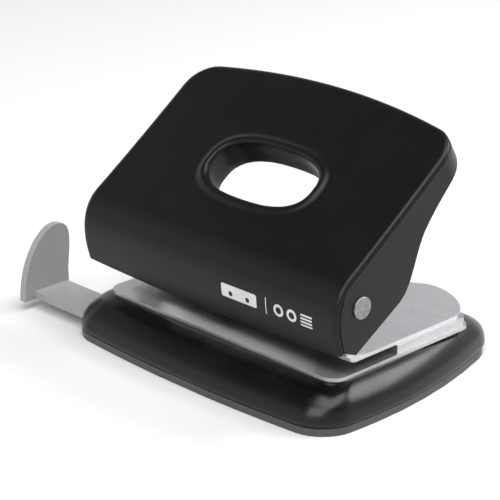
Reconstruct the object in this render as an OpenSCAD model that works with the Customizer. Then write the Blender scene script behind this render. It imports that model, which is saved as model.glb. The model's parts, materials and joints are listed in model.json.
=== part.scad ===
// Two-hole desk punch: moulded base with a hinged chip tray, pressed steel die plate and punch frame,
// two sprung punches, a hinged lever handle with an eye-shaped window, and a sliding paper guide.
// Frame: origin on the desk under the middle of the base, +X right, +Y back, +Z up. Paper goes in from -Y.

/* [Base] */
// Greatest width of the base
base_w = 118; // [116:1:120]
// Front of the base at its corners, before the front is bowed
base_front_y = -44; // [-44.5:0.5:-43.5]
// Back of the base
base_back_y = 46.4; // [46:0.1:47]
// Height of the deck that carries the die plate
deck_z = 12.8; // [12.7:0.1:12.9]
// Wall thickness of the mouldings
wall = 2.2; // [2:0.1:2.4]
// Thickness of the chip tray where it shows under the base
tray_t = 2.4; // [2.2:0.1:2.4]

/* [Steel plates] */
// Half width of the die plate
plate_hw = 50.2; // [50:0.1:50.4]
// Thickness of the steel sheet
sheet = 1.2; // [1.1:0.1:1.2]
// Height of the paper slot
slot_h = 2.5; // [2.4:0.1:2.5]
// Front edge of the die plate
plate_front_y = -32; // [-32.5:0.5:-31.5]
// Paper stop at the end of the slot
stop_y = -4.4; // [-4.6:0.1:-4.2]
// Rear edge of the raised part of the die plate
plate_back_y = 28.5; // [28:0.1:28.6]
// Rear edge of the punch frame
frame_back_y = 37.6; // [37.4:0.1:38]

/* [Punches] */
// Distance between the two holes
hole_pitch = 80; // [80:1:80]
// Distance from the paper edge to the hole centres
hole_margin = 12; // [12:1:12]
// Radius of a punch
punch_r = 2.75; // [2.7:0.05:2.75]
// Radial clearance of a punch in its guides
guide_gap = 0.07; // [0.05:0.01:0.09]
// Height of the punch tower above the frame
tower_h = 14.8; // [14.6:0.1:14.8]

/* [Handle] */
// Half width of the handle
handle_hw = 56; // [55.8:0.1:56.2]
// Height of the pivot
pivot_z = 37.4; // [37.3:0.1:37.5]
// Radius of the pivot pins
pivot_r = 3.5; // [3.4:0.1:3.5]
// Half width of the window
window_a = 21.9; // [20:0.1:22]
// Half height of the window
window_b = 11; // [10:0.1:11]
// Depth of the collar behind the window
collar_d = 10; // [9:0.5:11]

/* [Paper guide] */
// Width of the guide's arm
arm_w = 14.6; // [14:0.1:14.8]
// Thickness of the guide's arm
arm_t = 2.2; // [2:0.1:2.2]
// Place of the stop's inner face, as drawn partly pulled out
guide_x = -80.5; // [-82:0.5:-79]

/* [Hidden] */
$fn = 64;
eps = 0.01;

black = [0.055, 0.055, 0.06];
dark_grey = [0.14, 0.14, 0.145];
guide_grey = [0.62, 0.62, 0.63];
steel = [0.72, 0.72, 0.74];

bed_z = deck_z + sheet;             // top of the paper bed
frame_z = bed_z + slot_h;           // underside of the punch frame
frame_top = frame_z + sheet;
punch_y = stop_y - hole_margin;
punch_x = hole_pitch / 2;
pivot_y = punch_y - 11;
tower_top = frame_top + tower_h;

// ---- points along arcs, lines and curves ----
function arc(c, r, a0, a1, n = 8) =
    [for (i = [0:n]) c + r * [cos(a0 + (a1 - a0) * i / n), sin(a0 + (a1 - a0) * i / n)]];
function between(p, q, n) = [for (i = [1:n - 1]) p + (q - p) * i / n];
function curve(a, b, c, d, n) =
    [for (i = [0:n]) let (t = i / n, u = 1 - t) u*u*u*a + 3*u*u*t*b + 3*u*t*t*c + t*t*t*d];
function reversed(p) = [for (i = [len(p) - 1:-1:0]) p[i]];
function mirrored(p) = [for (q = reversed(p)) [-q.x, q.y]];
function unit(v) = v / norm(v);
// Moves each point of an open line to its right by d.
function beside(p, d) = [for (i = [0:len(p) - 1])
    let (t = unit(p[min(i + 1, len(p) - 1)] - p[max(i - 1, 0)])) p[i] + d * [t.y, -t.x]];

// ---- base outline in plan, drawn in by side, front and back ----
base_corner = 10.5;
widest_y = -18;
taper = 0.00005;
front_bow = 3.2;
function bowed(p) = [p.x * (1 - taper * pow(p.y - widest_y, 2)),
                     p.y - (p.y < 0 ? front_bow * (1 - pow(2 * p.x / base_w, 2)) * p.y / base_front_y : 0)];
function half_plan(hw, y0, y1, r) = concat(
    between([0, y0], [hw - r, y0], 4), arc([hw - r, y0 + r], r, -90, 0),
    between([hw, y0 + r], [hw, y1 - r], 6), arc([hw - r, y1 - r], r, 0, 90),
    between([hw - r, y1], [0, y1], 4));
function plan(side, front, back) =
    let (h = half_plan(base_w / 2 - side, base_front_y + front, base_back_y - back, base_corner - side / 2),
         p = [for (q = h) bowed(q)])
    concat(p, mirrored(p));

module slab(z, h, side, front, back) {
    translate([0, 0, z]) linear_extrude(h) polygon(plan(side, front, back));
}

// One side of the base from bottom to top: height, and how far it is drawn in at side, front and back.
skirt = [[2.5, 0.4, 0.4, 0.4], [4.2, 0, 0, 0], [7.2, 0.9, 1.6, 1.4], [9.6, 2.6, 4.2, 4.6],
         [11.5, 4.8, 7.4, 9], [deck_z - eps, 7.4, 12, 16.5]];
cavity = [[-1, 2.7, 2.7, 2.7], [4.2, 2.2, 2.2, 2.2], [7.2, 3.2, 4, 4.2],
          [deck_z - wall, 7, 11, 14.5]];

// ---- guide channel ----
arm_y0 = -39.7;
arm_y1 = arm_y0 + arm_w;
arm_z = 3.9;
channel_end = 44;
rail_gap = 0.25;
screw_xy = [[38, 3], [38, 22], [-38, 3], [-38, 22]];
hinge_y = base_back_y - 1.8;
hinge_z = 1.5;
hinge_x = 34;
guide_stop_x = -51.6;
boss_z = 7;
boss_r = 3.4;

module rail(y0, y1) {
    translate([-60, y0, 2.6]) cube([60 + channel_end + 2, y1 - y0, 12]);
}

module base_body() {
    color(black) difference() {
        union() {
            difference() {
                hull() for (p = skirt) slab(p[0], eps, p[1], p[2], p[3]);
                difference() {
                    hull() for (c = cavity) slab(c[0], eps, c[1], c[2], c[3]);
                    rail(arm_y0 - 2.3, arm_y0 + 1.6);
                    rail(arm_y1 - 1.6, arm_y1 + 2.1);
                    translate([guide_stop_x, arm_y0, arm_z + arm_t + 0.3]) cube([1.6, 5.5, 8]);
                    for (p = screw_xy) translate([p.x, p.y, boss_z]) cylinder(r = boss_r, h = 10);
                }
            }
            for (p = screw_xy) translate([p.x, p.y, boss_z]) cylinder(r = boss_r, h = frame_z - sheet - boss_z);
            for (s = [-1, 1]) hinge_ear(s);
        }
        // groove for the guide's arm, and its way out on the left
        translate([-80, arm_y0 - rail_gap, arm_z - 0.2])
            cube([80 + channel_end, arm_w + 2 * rail_gap, arm_t + 0.4]);
        // chip windows under the dies
        for (s = [-1, 1]) translate([s * punch_x - 9, punch_y - 6, deck_z - wall - 1]) cube([18, 15, wall + 2]);
        for (p = screw_xy) translate([p.x, p.y, 0]) cylinder(r = 1.55, h = 30);
        // room for the tray's hinge barrel
        translate([-hinge_x - 0.4, hinge_y - 2.2, 0]) cube([2 * hinge_x + 0.8, 10, 3.4]);
        for (s = [-1, 1]) translate([s * (hinge_x + 1.7), hinge_y, hinge_z]) rotate([0, 90, 0])
            cylinder(r = 0.9, h = 3.6, center = true);
    }
}

module hinge_ear(s) {
    translate([s * (hinge_x + 1.7), 0, 0]) rotate([90, 0, 90]) linear_extrude(2.4, center = true)
        union() {
            translate([hinge_y, hinge_z]) circle(r = 1.5);
            translate([hinge_y - 1.5, hinge_z]) square([3, 4]);
        }
}

// ---- chip tray ----
module chip_tray() {
    tray_back = base_back_y - hinge_y;
    color(dark_grey) difference() {
        union() {
            slab(0, tray_t, 0.3, 0.3, tray_back);
            difference() {
                slab(tray_t - eps, 1.4, 3.1, 3.1, 5.4);
                slab(0, 10, 4.3, 4.3, 5.4);
                for (y = [-70, 36]) translate([-70, y, 0]) cube([140, 50, 10]);
            }
            translate([-hinge_x, hinge_y, hinge_z]) rotate([0, 90, 0]) cylinder(r = 1.5, h = 2 * hinge_x);
            for (s = [-1, 1]) translate([s * (hinge_x + 1.3), hinge_y, hinge_z]) rotate([0, 90, 0])
                cylinder(r = 0.84, h = 2.8, center = true);
        }
        slab(1.5, 10, 4.3, 4.3, 6);
        // corners cut back round the base's hinge ears
        for (s = [-1, 1]) translate([s > 0 ? hinge_x : -hinge_x - 30, hinge_y - 1.9, -1]) difference() {
            cube([30, 20, 10]);
            translate([s > 0 ? 1.3 : 28.7, 1.9, 1 + hinge_z]) rotate([0, 90, 0])
                cylinder(r = 0.84, h = 2.8, center = true);
        }
    }
    color(dark_grey) for (x = [-30:15:30]) translate([x - 0.6, -36, 1.5 - eps]) cube([1.2, 74, 0.7]);
}

// ---- die plate ----
module die_plate() {
    front_r = 4.5;
    back_r = 3;
    lip = 0.9;
    bed = concat(arc([plate_hw - front_r, plate_front_y + front_r], front_r + lip, -90, 0),
                 arc([plate_hw - back_r, plate_back_y - back_r], back_r + lip, 0, 90));
    rise = concat([[plate_hw, stop_y]], arc([plate_hw - back_r, plate_back_y - back_r], back_r, 0, 90));
    color(steel) difference() {
        union() {
            translate([0, 0, deck_z]) linear_extrude(sheet) polygon(concat(bed, mirrored(bed)));
            translate([0, 0, deck_z]) linear_extrude(slot_h + sheet) polygon(concat(rise, mirrored(rise)));
        }
        translate([-plate_hw + sheet, stop_y + sheet, deck_z - 1])
            cube([2 * (plate_hw - sheet), plate_back_y - stop_y - 2 * sheet, slot_h + 1]);
        for (s = [-1, 1]) translate([s * punch_x, punch_y, 0]) cylinder(r = punch_r + guide_gap, h = 30);
        for (p = screw_xy) translate([p.x, p.y, 0]) cylinder(r = 1.5, h = 30);
        for (p = frame_rivet_xy) translate([p.x, p.y, 0]) cylinder(r = 1.5, h = 30);
    }
}

// ---- punch frame: the upper plate, with a scooped rear edge ----
frame_hw = plate_hw - 0.7;
frame_front_y = plate_front_y + 8.5;
frame_rivet_xy = [[15, 4], [15, 21], [-15, 4], [-15, 21]];
foot_x = punch_x - 11;              // middle of a tower's foot, turned in from its inner wall
rivet_y = [-19.8, -13.9];
tower_rivet_xy = [for (s = [-1, 1]) for (y = rivet_y) [s * foot_x, y]];

module punch_frame() {
    front_r = 1.5;
    scoop_r = 48;
    scoop_x = 21.7;
    scoop_y = frame_back_y - 3;
    sweep = asin(scoop_x / scoop_r);
    half = concat(arc([frame_hw - front_r, frame_front_y + front_r], front_r, -90, 0),
                  curve([frame_hw, 22], [frame_hw, 30], [38, frame_back_y], [29.5, frame_back_y], 12),
                  curve([28.5, frame_back_y], [25.5, frame_back_y], [24, frame_back_y - 1.6],
                        [scoop_x, scoop_y], 5),
                  arc([0, scoop_y + scoop_r * cos(sweep)], scoop_r, 269 + sweep, 271, 6));
    color(steel) difference() {
        translate([0, 0, frame_z]) linear_extrude(sheet) polygon(concat(half, mirrored(half)));
        for (s = [-1, 1]) translate([s * punch_x, punch_y, 0]) cylinder(r = punch_r + guide_gap, h = 30);
        for (p = frame_rivet_xy) translate([p.x, p.y, 0]) {
            cylinder(r = 1.5, h = 30);
            translate([0, 0, frame_top - 0.9]) cylinder(r1 = 1.52, r2 = 2.54, h = 0.92);
        }
        for (p = tower_rivet_xy) translate([p.x, p.y, 0]) cylinder(r = 1.5, h = 30);
    }
}

// ---- punch towers: a bracket over each punch, whose two walls reach forward to hold the pivot pin ----
tower_gap = 5;
lobe_r = 4.4;
shaft_r = 2;
// The outer wall is cut away at its rear foot, the inner one stands on it.
module tower_wall(cut_h) {
    difference() {
        union() {
            translate([pivot_y, pivot_z]) circle(r = lobe_r);
            polygon([[-23, frame_top], [-20, frame_top], [-11.2, frame_top + cut_h], [-11.2, tower_top],
                     [pivot_y + 3.8, pivot_z - 2.2], [pivot_y, pivot_z], [pivot_y - 4.2, pivot_z - 1.2],
                     [-23, frame_top + 4]]);
        }
        translate([pivot_y, pivot_z]) circle(r = shaft_r + 0.02);
    }
}

module punch_tower(s) {
    color(steel) difference() {
        union() {
            for (side = [-1, 1]) let (x = s * punch_x + side * (tower_gap + sheet / 2))
                across(x - sheet / 2, x + sheet / 2) tower_wall(side == s ? 5.6 : 0);
            translate([s * punch_x - tower_gap, -22.5, tower_top - sheet]) cube([2 * tower_gap, 11.3, sheet]);
            translate([s * foot_x, -16.85, frame_top]) linear_extrude(sheet) square([11, 11.3], center = true);
        }
        translate([s * punch_x, punch_y, 0]) cylinder(r = punch_r + guide_gap, h = 60);
        for (y = rivet_y) translate([s * foot_x, y, 0]) cylinder(r = 1.5, h = 30);
    }
}

module tower_rivets() {
    color(steel) for (p = tower_rivet_xy) translate([p.x, p.y, frame_z + 0.1]) {
        cylinder(r = 1.5, h = 2 * sheet);
        translate([0, 0, 2 * sheet - 0.1]) cylinder(r1 = 2.4, r2 = 1.7, h = 0.9);
    }
}

module frame_rivets() {
    color(steel) for (p = frame_rivet_xy) translate([p.x, p.y, 0]) {
        translate([0, 0, frame_z - sheet - 0.8]) cylinder(r = 2.5, h = 0.8);
        translate([0, 0, frame_z - sheet]) cylinder(r = 1.5, h = 2 * sheet - 0.9 + eps);
        translate([0, 0, frame_top - 0.9]) cylinder(r1 = 1.5, r2 = 2.5, h = 0.9);
    }
}

module base_screws() {
    color(steel) for (p = screw_xy) translate([p.x, p.y, 0]) difference() {
        union() {
            translate([0, 0, boss_z - 1.6]) cylinder(r1 = 2.2, r2 = 2.9, h = 1.6);
            translate([0, 0, boss_z - 0.1]) cylinder(r = 1.5, h = frame_z - boss_z);
        }
        for (a = [0, 90]) rotate(a) translate([-1.5, -0.3, boss_z - 2]) cube([3, 0.6, 1.2]);
    }
}

// ---- pivot: each pin turns in the handle's side wall and is held in the tower's two walls ----
pin_in = punch_x - tower_gap - sheet - 1.8;
pin_step = 51.2;
pin_out = handle_hw + 0.8;
module on_pivot(s, x) {
    translate([0, pivot_y, pivot_z]) rotate([0, s * 90, 0]) translate([0, 0, x]) children();
}

module pivot_pin(s) {
    color(steel) difference() {
        union() {
            on_pivot(s, pin_step) cylinder(r = pivot_r, h = pin_out - pin_step - 0.4);
            on_pivot(s, pin_out - 0.4) cylinder(r1 = pivot_r, r2 = pivot_r - 0.4, h = 0.4);
            on_pivot(s, pin_in) cylinder(r = shaft_r, h = pin_step - pin_in + eps);
        }
        on_pivot(s, pin_in + 0.7) difference() {
            cylinder(r = shaft_r + 1, h = 0.8);
            cylinder(r = shaft_r - 0.4, h = 0.8);
        }
    }
}

module pivot_spacer(s) {
    x0 = punch_x + tower_gap + sheet + 0.1;
    color(steel) difference() {
        on_pivot(s, x0) cylinder(r = pivot_r - 0.1, h = pin_step - x0 - 0.1);
        on_pivot(s, x0 - 1) cylinder(r = shaft_r + 0.06, h = 10);
    }
}

module pivot_clip(s) {
    color(steel) on_pivot(s, pin_in + 0.75) difference() {
        cylinder(r = 3.8, h = 0.7);
        translate([0, 0, -1]) cylinder(r = shaft_r - 0.38, h = 3);
        translate([-1.2, 0, -1]) cube([2.4, 8, 3]);
    }
}

// ---- handle ----
lean = 35.4;                       // slope of the handle's face
face_y = -12.4;                    // middle of the window, on the face
face_z = 60.9;
along = [cos(lean), sin(lean)];
skin = concat([[-35.6, 22.6]], curve([-36.4, 25.2], [-38.9, 33.5], [-39.6, 42], [-32.2, 47.4], 14),
              curve([-31.4, 47.95], [-21, 54.3], [4, 72], [22.2, 85.9], 14));
underside = [[-29.4, 23], [-10.6, 34.2], [-8.2, 36.4], [-6.5, 39.2], [-5.2, 42.3], [-2.3, 50],
             [-0.6, 53.3], [1.8, 56.6], [5.3, 60.6], [12.9, 68.3], [27, 79.6]];
inner_skin = beside(skin, wall);
rim_top = 37.9;
rim_bow = 6.4;
rim_corner = 9;
// Height of the handle's rear edge up the face, at x: bowed, with round corners.
function rim(x, hw, top, r) = let (over = max(0, abs(x) - hw + r))
    top - rim_bow * pow(x / handle_hw, 2) - (r - sqrt(max(0, r * r - over * over)));
function face(hw, top, r) = let (xs = concat([for (i = [0:8]) (hw - r) * i / 8],
                                             [for (i = [1:8]) hw - r + r * sin(90 * i / 8)]),
                                 h = [for (x = reversed(xs)) [x, rim(x, hw, top, r)]])
    concat([[hw, -90]], h, [for (q = reversed(h)) if (q.x > 0) [-q.x, q.y]], [[-hw, -90]]);
function eye(a, b, n = 60) = [for (i = [0:n - 1]) let (t = 360 * i / n, e = 2 / 2.6)
    [a * sign(cos(t)) * pow(abs(cos(t)), e), b * sign(sin(t)) * pow(abs(sin(t)), e)]];
handle_x0 = handle_hw - wall;      // inner face of the side walls

// Places a drawing of the handle's face on it, and extrudes it outwards from n0 to n1.
module on_face(n0, n1) {
    translate([0, face_y, face_z]) rotate([lean, 0, 0]) translate([0, 0, n0]) linear_extrude(n1 - n0) children();
}

module across(x0, x1) {
    translate([x0, 0, 0]) rotate([90, 0, 90]) linear_extrude(x1 - x0) children();
}

// The pressure bar's line through the pivot, and the room above it.
bar_lean = 14;
bar_t = 2;
bar_y0 = 5.2;
bar_y1 = 18.4;
bar_screw = [26, 12];
module bar_section(y0, y1, z0, z1) {
    translate([pivot_y, pivot_z]) rotate(bar_lean) translate([y0, z0]) square([y1 - y0, z1 - z0]);
}

module at_bar_screw(s) {
    translate([s * bar_screw.x, pivot_y, pivot_z]) rotate([bar_lean, 0, 0]) translate([0, bar_screw.y, 0]) children();
}

module handle_shell() {
    rib_x = [-49, -26, 26, 49];
    color(black) difference() {
        union() {
            difference() {
                intersection() {
                    across(-handle_hw, handle_hw) polygon(concat(skin, reversed(underside)));
                    on_face(-90, 30) polygon(face(handle_hw, rim_top, rim_corner));
                }
                intersection() {
                    across(-handle_x0, handle_x0)
                        polygon(concat(inner_skin, [[70, 120], [70, 0], [-34, 0]]));
                    on_face(-90, 30) polygon(face(handle_x0, rim_top - wall, rim_corner - wall));
                }
            }
            intersection() {
                on_face(-collar_d, -1.2) polygon(eye(window_a + 1.8, window_b + 1.8));
                across(-30, 30) polygon(concat(skin, reversed(underside)));
            }
            for (x = rib_x) intersection() {
                across(x - 0.7, x + 0.7)
                    polygon(concat(beside(skin, wall - 0.3), [[60, 86], [60, 30], [-20, 30]]));
                across(x - 0.7, x + 0.7) bar_section(bar_y0, bar_y1, bar_t, 14);
            }
            for (s = [-1, 1]) intersection() {
                across(s * bar_screw.x - 4, s * bar_screw.x + 4)
                    polygon(concat(beside(skin, wall - 0.3), [[60, 86], [60, 30], [-20, 30]]));
                at_bar_screw(s) translate([0, 0, bar_t]) cylinder(r = 3.2, h = 30);
            }
        }
        on_face(-40, 20) polygon(eye(window_a, window_b));
        for (s = [-1, 1]) translate([s * handle_hw, pivot_y, pivot_z]) rotate([0, 90, 0])
            cylinder(r = pivot_r + 0.06, h = 12, center = true);
        for (s = [-1, 1]) at_bar_screw(s) cylinder(r = 1.25, h = 8.6);
    }
}

module pressure_bar() {
    color(steel) difference() {
        across(-48, 48) bar_section(bar_y0, bar_y1, 0, bar_t);
        for (s = [-1, 1]) at_bar_screw(s) translate([0, 0, -1]) cylinder(r = 1.3, h = 9);
    }
}

module bar_screws() {
    color(steel) for (s = [-1, 1]) at_bar_screw(s) difference() {
        union() {
            cylinder(r = 1.25, h = 8.4);
            translate([0, 0, -1.3]) cylinder(r1 = 1.9, r2 = 2.6, h = 1.3);
        }
        for (a = [0, 90]) rotate(a) translate([-1.3, -0.3, -2]) cube([2.6, 0.6, 1.6]);
    }
}

// ---- punches ----
tip_z = frame_z + 0.4;
crown_gap = 0.3;
crown_z = pivot_z + (punch_y - pivot_y) * tan(bar_lean) - crown_gap;
crown_r = 6;
clip_z = tower_top - sheet - 1;
groove_r = 2.3;

module punch_pin(s) {
    color(steel) translate([s * punch_x, punch_y, 0]) difference() {
        intersection() {
            translate([0, 0, tip_z]) cylinder(r = punch_r, h = crown_z - tip_z);
            union() {
                translate([0, 0, crown_z - crown_r]) sphere(r = crown_r);
                cylinder(r = punch_r + 1, h = crown_z - crown_r);
            }
        }
        translate([0, 0, clip_z - 0.05]) difference() {
            cylinder(r = punch_r + 1, h = 0.9);
            cylinder(r = groove_r, h = 0.9);
        }
        // hollow cutting end
        translate([0, 0, tip_z - 4.4]) rotate([90, 0, 0]) cylinder(r = 5, h = 20, center = true);
    }
}

module punch_clip(s) {
    color(steel) translate([s * punch_x, punch_y, clip_z]) difference() {
        cylinder(r = 4.2, h = 0.8);
        translate([0, 0, -1]) cylinder(r = groove_r + 0.03, h = 3);
        translate([-1.6, 0, -1]) cube([3.2, 8, 3]);
    }
}

// ---- return springs: a swept helix ----
wire_r = 0.45;
coil_r = 3.65;
turns = 5.5;
ring_sides = 8;
rings = 88;
coil_z0 = frame_top + wire_r + 0.03;
coil_z1 = clip_z - wire_r - 0.03;
// The rise eases in and out, so that the end turns lie flat.
function coil_at(i) = let (t = i / rings, e = t - sin(360 * t) / (2 * PI))
    [coil_r * cos(360 * turns * t), coil_r * sin(360 * turns * t), coil_z0 + (coil_z1 - coil_z0) * e];
function coil_ring(i) = let (a = 360 * turns * i / rings, c = coil_at(i), out = [cos(a), sin(a), 0])
    [for (k = [0:ring_sides - 1]) let (b = 360 * k / ring_sides) c + wire_r * (cos(b) * out + sin(b) * [0, 0, 1])];

module return_spring(s) {
    points = [for (i = [0:rings]) each coil_ring(i)];
    sides = [for (i = [0:rings - 1]) for (k = [0:ring_sides - 1])
        let (a = i * ring_sides + k, b = i * ring_sides + (k + 1) % ring_sides)
        each [[a, a + ring_sides, b], [b, a + ring_sides, b + ring_sides]]];
    cap0 = [for (k = [1:ring_sides - 2]) [0, k, k + 1]];
    last = rings * ring_sides;
    cap1 = [for (k = [1:ring_sides - 2]) [last, last + k + 1, last + k]];
    color(steel) translate([s * punch_x, punch_y, 0]) polyhedron(points, concat(sides, cap0, cap1));
}

// ---- paper guide ----
fin_t = 2.7;
arm_end = 23;
detent_x = -48;
// Distances of the arm's notches from the stop: A6, as drawn, A5 and A4.
notch_u = [26, 32.5, 57, 100.5];
module paper_guide() {
    fin = concat([[-24.6, 3.2]], curve([-24.6, 11], [-24, 18], [-21.6, 27.4], [-28.6, 27.4], 8),
                 curve([-29, 27.4], [-35, 27.4], [-43.4, 18], [-43.6, 3.2], 12));
    color(guide_grey) {
        difference() {
            union() {
                translate([guide_x - eps, arm_y0, arm_z]) cube([arm_end - guide_x, arm_w, arm_t]);
                translate([arm_end - 2, arm_y0 + 1.6, arm_z]) cube([2, 3.2, arm_t + 1.8]);
            }
            for (u = notch_u) translate([guide_x + u, 0, arm_z + arm_t + 0.5]) rotate([90, 0, 0])
                cylinder(r = 1, h = 100, center = true);
            translate([guide_x + 12, arm_y0 + 3, arm_z - 1]) cube([arm_end - guide_x - 20, arm_w - 6, 1.8]);
        }
        across(guide_x - fin_t, guide_x) polygon(fin);
    }
}

module guide_detent() {
    strip = 0.4;
    top = deck_z - wall;
    bump = arm_z + arm_t + 0.06;
    line = [[-24, top], [-30, top], [-44, bump + 1.6], [detent_x + 0.8, bump + strip],
            [detent_x - 0.8, bump + strip], [-51, bump + 1.6], [-51.3, bump + 1.3], [detent_x - 1, bump],
            [detent_x + 1, bump], [-44, bump + 1.2], [-30, top - strip], [-24, top - strip]];
    color(steel) translate([0, -27.6, 0]) rotate([90, 0, 0]) linear_extrude(5) polygon(line);
}

base_body();
chip_tray();
die_plate();
punch_frame();
punch_tower(-1);  // punch_tower_left
punch_tower(1);  // punch_tower_right
tower_rivets();
frame_rivets();
base_screws();
pivot_pin(-1);  // pivot_pin_left
pivot_pin(1);  // pivot_pin_right
pivot_spacer(-1);  // pivot_spacer_left
pivot_spacer(1);  // pivot_spacer_right
pivot_clip(-1);  // pivot_clip_left
pivot_clip(1);  // pivot_clip_right
handle_shell();
pressure_bar();
bar_screws();
punch_pin(-1);  // punch_pin_left
punch_pin(1);  // punch_pin_right
punch_clip(-1);  // punch_clip_left
punch_clip(1);  // punch_clip_right
return_spring(-1);  // return_spring_left
return_spring(1);  // return_spring_right
paper_guide();
guide_detent();
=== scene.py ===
import bpy
import bmesh
import json
import math
from mathutils import Matrix, Vector

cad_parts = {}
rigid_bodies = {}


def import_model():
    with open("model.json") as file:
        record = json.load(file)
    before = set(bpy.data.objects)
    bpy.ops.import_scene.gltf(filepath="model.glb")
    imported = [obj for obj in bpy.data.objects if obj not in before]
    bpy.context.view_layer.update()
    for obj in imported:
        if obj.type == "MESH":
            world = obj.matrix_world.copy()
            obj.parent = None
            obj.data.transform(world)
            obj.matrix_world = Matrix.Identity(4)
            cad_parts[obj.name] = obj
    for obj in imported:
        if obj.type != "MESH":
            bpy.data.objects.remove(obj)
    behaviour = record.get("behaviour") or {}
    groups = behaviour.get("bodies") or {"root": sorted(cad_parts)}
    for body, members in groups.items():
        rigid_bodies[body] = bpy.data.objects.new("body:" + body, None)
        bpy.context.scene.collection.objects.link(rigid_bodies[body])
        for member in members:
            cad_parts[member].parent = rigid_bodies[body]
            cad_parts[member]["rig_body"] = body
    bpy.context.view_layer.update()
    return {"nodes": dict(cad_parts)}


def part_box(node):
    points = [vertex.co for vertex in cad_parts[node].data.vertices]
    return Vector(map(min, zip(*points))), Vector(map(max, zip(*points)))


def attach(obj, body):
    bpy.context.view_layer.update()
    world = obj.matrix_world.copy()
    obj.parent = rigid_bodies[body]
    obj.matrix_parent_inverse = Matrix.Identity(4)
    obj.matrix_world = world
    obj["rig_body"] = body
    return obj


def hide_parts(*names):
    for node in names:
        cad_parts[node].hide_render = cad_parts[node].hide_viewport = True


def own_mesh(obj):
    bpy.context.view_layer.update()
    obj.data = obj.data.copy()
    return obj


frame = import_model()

# A two-hole desk punch: satin black lever handle and base, bright steel plates, grey paper guide.
# Shapes are drawn in millimetres and made in metres; places come from the CAD nodes' boxes.
MM = 0.001

# ---------------------------------------------------------------- measures from the frame
HANDLE_LO, HANDLE_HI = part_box("handle_shell")
BASE_LO, BASE_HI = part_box("base_body")
TRAY_LO, TRAY_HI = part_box("chip_tray")
PLATE_LO, PLATE_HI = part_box("die_plate")
PIN_LO, PIN_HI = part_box("pivot_pin_right")
PIVOT_Y = (PIN_LO.y + PIN_HI.y) / 2 / MM
PIVOT_Z = (PIN_LO.z + PIN_HI.z) / 2 / MM
HANDLE_HALF = HANDLE_HI.x / MM
BASE_HALF = BASE_HI.x / MM
DECK_Z = PLATE_LO.z / MM
WALL = 2.2

# ---------------------------------------------------------------- side view of the handle
LIP = (-35.6, 22.6)
BULGE = ((-36.4, 25.2), (-38.9, 33.5), (-39.6, 42.0), (-32.2, 47.4))
SLOPE = ((-32.2, 47.4), (-21.2, 54.5), (4.0, 72.0), (22.2, 85.9))
UNDERSIDE = ((-29.4, 23.0), (-10.6, 34.2), (-8.2, 36.4), (-6.5, 39.2), (-5.2, 42.3), (-2.3, 50.0),
             (-0.6, 53.3), (1.8, 56.6), (5.3, 60.6), (12.9, 68.3), (27.0, 79.6))
# Heights on the skin, and the heights on the underside that the side wall runs down to.
WALL_HEIGHTS = ((22.6, 23.0), (27.0, 23.5), (40.0, 27.5), (47.4, 34.2), (54.0, 41.0), (60.9, 48.5), (67.0, 56.5),
                (73.6, 66.0), (80.0, 73.0), (84.5, 77.8), (87.0, 79.6))
# The front edge hangs lowest in the middle; its ends are this much higher, up to this far along the skin.
LIP_BOW = 1.7
LIP_FADE = 9.0
LEAN = math.radians(35.4)
FACE_MIDDLE = Vector((-12.4, 60.9))
UP_FACE = Vector((math.cos(LEAN), math.sin(LEAN)))


def bezier(points, t):
    """A point on a cubic curve."""
    a, b, c, d = (Vector(p) for p in points)
    u = 1 - t
    return u**3 * a + 3 * u * u * t * b + 3 * u * t * t * c + t**3 * d


class Line:
    """A line in the side view (y, z), measured along its length."""

    def __init__(self, points):
        self.points = [Vector(p) for p in points]
        self.marks = [0.0]
        for a, b in zip(self.points, self.points[1:]):
            self.marks.append(self.marks[-1] + (b - a).length)
        self.length = self.marks[-1]

    def segment(self, s):
        s = min(max(s, 0.0), self.length)
        for i in range(len(self.marks) - 2):
            if s <= self.marks[i + 1]:
                return i, s
        return len(self.marks) - 2, s

    def at(self, s):
        i, s = self.segment(s)
        a, b = self.points[i], self.points[i + 1]
        return a.lerp(b, (s - self.marks[i]) / (self.marks[i + 1] - self.marks[i]))

    def outward(self, s, reach=0.8):
        """The unit normal on the left of the line's direction."""
        d = self.at(s + reach) - self.at(s - reach)
        return Vector((-d.y, d.x)).normalized()


SKIN = Line([LIP] + [bezier(BULGE, i / 40) for i in range(40)] + [bezier(SLOPE, i / 50) for i in range(51)])
UNDER = Line(UNDERSIDE)


def interpolate(table, x):
    """The value at x on a line through the table's pairs."""
    for (x0, y0), (x1, y1) in zip(table, table[1:]):
        if x <= x1:
            return y0 + (y1 - y0) * (x - x0) / (x1 - x0)
    return table[-1][1]


def up_face(s):
    """How far up the face a point of the skin is from the window's middle."""
    return (SKIN.at(s) - FACE_MIDDLE).dot(UP_FACE)


FACE_TABLE = [(up_face(s), s) for s in (i * SKIN.length / 400 for i in range(120, 401))]
UNDER_TABLE = [(p.y, p.x) for p in UNDER.points]


def skin_length(h):
    """The length along the skin at h up the face."""
    return interpolate(FACE_TABLE, h)


def on_skin(x, s, n=0.0):
    """A point at x across and s along the skin, n outwards from it, in metres."""
    lift = LIP_BOW * (x / HANDLE_HALF) ** 2 * max(0.0, 1 - s / LIP_FADE)
    p = SKIN.at(s + lift) + SKIN.outward(s + lift) * n
    return Vector((x, p.x, p.y)) * MM


def under_skin(x, s):
    """The point on the wall's lower edge that belongs to s on the skin."""
    z = interpolate(WALL_HEIGHTS, SKIN.at(s).y)
    return Vector((x, interpolate(UNDER_TABLE, z), z)) * MM


# ---------------------------------------------------------------- mesh helpers
def new_object(name, mesh):
    obj = bpy.data.objects.new(name, mesh)
    bpy.context.scene.collection.objects.link(obj)
    return obj


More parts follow.
